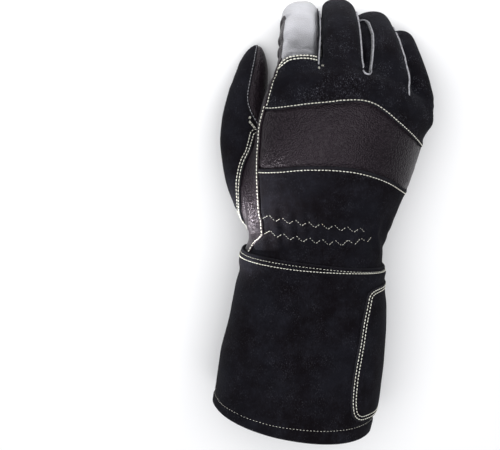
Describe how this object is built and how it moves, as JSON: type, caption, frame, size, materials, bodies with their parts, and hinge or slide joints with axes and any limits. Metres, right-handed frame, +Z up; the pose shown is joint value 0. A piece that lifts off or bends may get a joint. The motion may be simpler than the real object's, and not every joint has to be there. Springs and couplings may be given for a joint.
{
  "type": "welding gauntlet",
  "caption": "Long-cuffed welding glove for the right hand in black suede and leather, palm down, with curled fingers, set-in thumb, leather band over the back and light stitching.",
  "frame": {"origin": "middle of the bounding box at its base, on the surface that the glove lies on", "axes": "+Y from the cuff's hem to the fingertips, +X towards the little finger, +Z up through the back of the hand"},
  "size_m": [0.1518, 0.296, 0.087],
  "materials": {
    "suede": "matt black split leather",
    "leather": "satin black grain leather",
    "index_leather": "smooth silver-grey leather"
  },
  "bodies": {
    "root": {"cuff_suede": "suede", "cuff_side_patch": "suede", "wrist_panel_suede": "suede", "back_band_leather": "leather", "knuckle_panel_suede": "suede", "index_back_leather": "index_leather", "palm_leather": "leather", "thumb_back_suede": "suede", "thumb_front_leather": "leather", "palm_heel_patch": "suede", "fourchette_index_middle": "suede", "fourchette_middle_ring": "suede", "fourchette_ring_little": "suede"}
  },
  "joints": []
}
